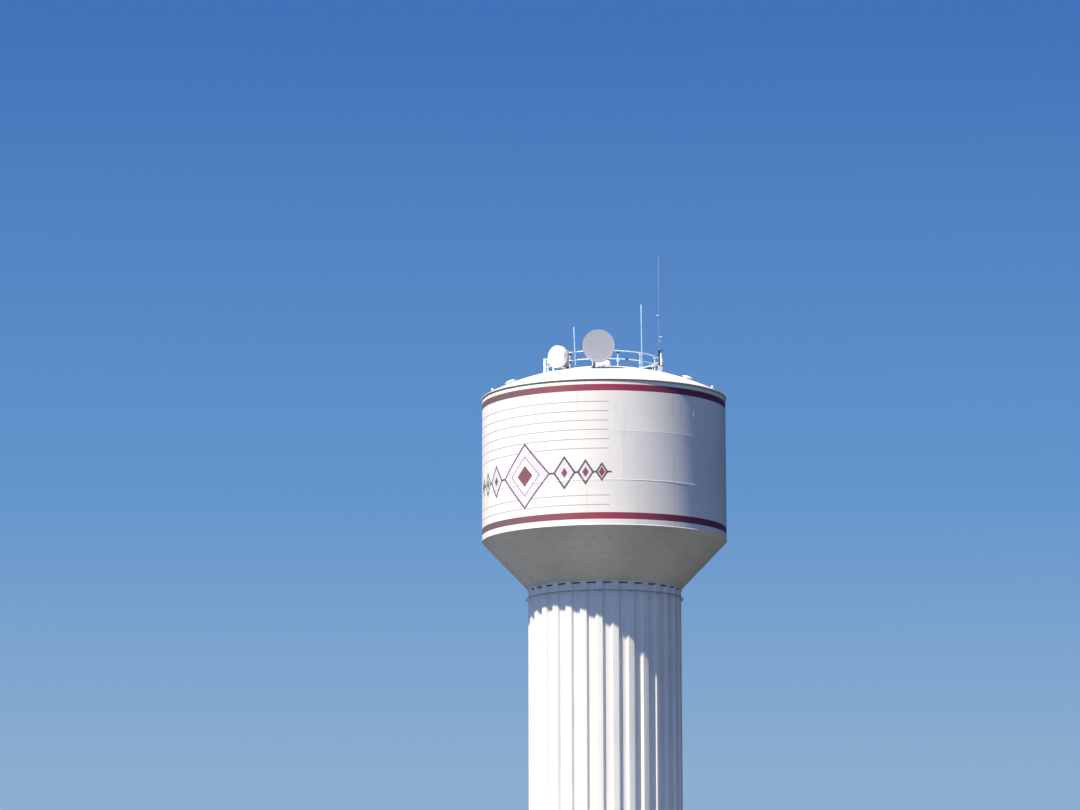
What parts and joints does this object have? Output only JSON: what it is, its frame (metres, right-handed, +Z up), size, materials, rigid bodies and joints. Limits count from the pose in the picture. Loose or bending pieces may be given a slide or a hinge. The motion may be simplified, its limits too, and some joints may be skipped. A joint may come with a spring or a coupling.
{
  "type": "water tower, a 1:2 scale model of a tank on a fluted column",
  "caption": "Cylindrical steel tank with a cone bottom and domed roof on a wide fluted column, with roof handrail, hatches and aerials; 1:2 scale model.",
  "frame": {"origin": "on the ground under the centre of the column", "axes": "+Z up along the column's axis, -Y towards the door, +X to the right of someone facing the door"},
  "size_m": [7.69, 7.69, 27.8],
  "materials": {
    "concrete": "cast concrete, weathered",
    "tank_paint": "satin white enamel with two crimson bands on the tank",
    "door_paint": "satin",
    "rail_paint": "satin white",
    "galvanized": "dull galvanized",
    "radome": "matt light grey",
    "whip_shell": "glass-fibre tube, pale",
    "lamp_lens": "clear lens"
  },
  "bodies": {
    "root": {"foundation_ring": "concrete", "floor_slab": "concrete", "base_ring": "tank_paint", "column_wall_01": "tank_paint", "column_wall_02": "tank_paint", "column_wall_03": "tank_paint", "column_wall_04": "tank_paint", "column_wall_05": "tank_paint", "column_wall_06": "tank_paint", "column_wall_07": "tank_paint", "column_wall_08": "tank_paint", "column_wall_09": "tank_paint", "column_wall_10": "tank_paint", "column_top_ring": "tank_paint", "painters_rail": "tank_paint", "door_frame": "door_paint", "door_leaf": "door_paint", "tank_floor": "tank_paint", "cone_plate_1": "tank_paint", "cone_plate_2": "tank_paint", "cone_plate_3": "tank_paint", "cone_plate_4": "tank_paint", "shell_lower_1": "tank_paint", "shell_lower_2": "tank_paint", "shell_lower_3": "tank_paint", "shell_lower_4": "tank_paint", "shell_middle_1": "tank_paint", "shell_middle_2": "tank_paint", "shell_middle_3": "tank_paint", "shell_middle_4": "tank_paint", "shell_upper_1": "tank_paint", "shell_upper_2": "tank_paint", "shell_upper_3": "tank_paint", "shell_upper_4": "tank_paint", "roof_rim": "tank_paint", "roof": "tank_paint", "roof_handrail": "rail_paint", "access_hatch": "rail_paint", "roof_vent": "rail_paint", "roof_manway_left": "rail_paint", "roof_manway_right": "rail_paint", "spare_post": "rail_paint", "mast_post": "rail_paint", "obstruction_light_left": "lamp_lens", "obstruction_light_right": "lamp_lens", "large_antenna": "radome", "small_antenna": "radome", "large_antenna_mount": "galvanized", "small_antenna_mount": "galvanized", "left_whip": "whip_shell", "middle_whip": "whip_shell", "tall_whip": "whip_shell"}
  },
  "joints": []
}
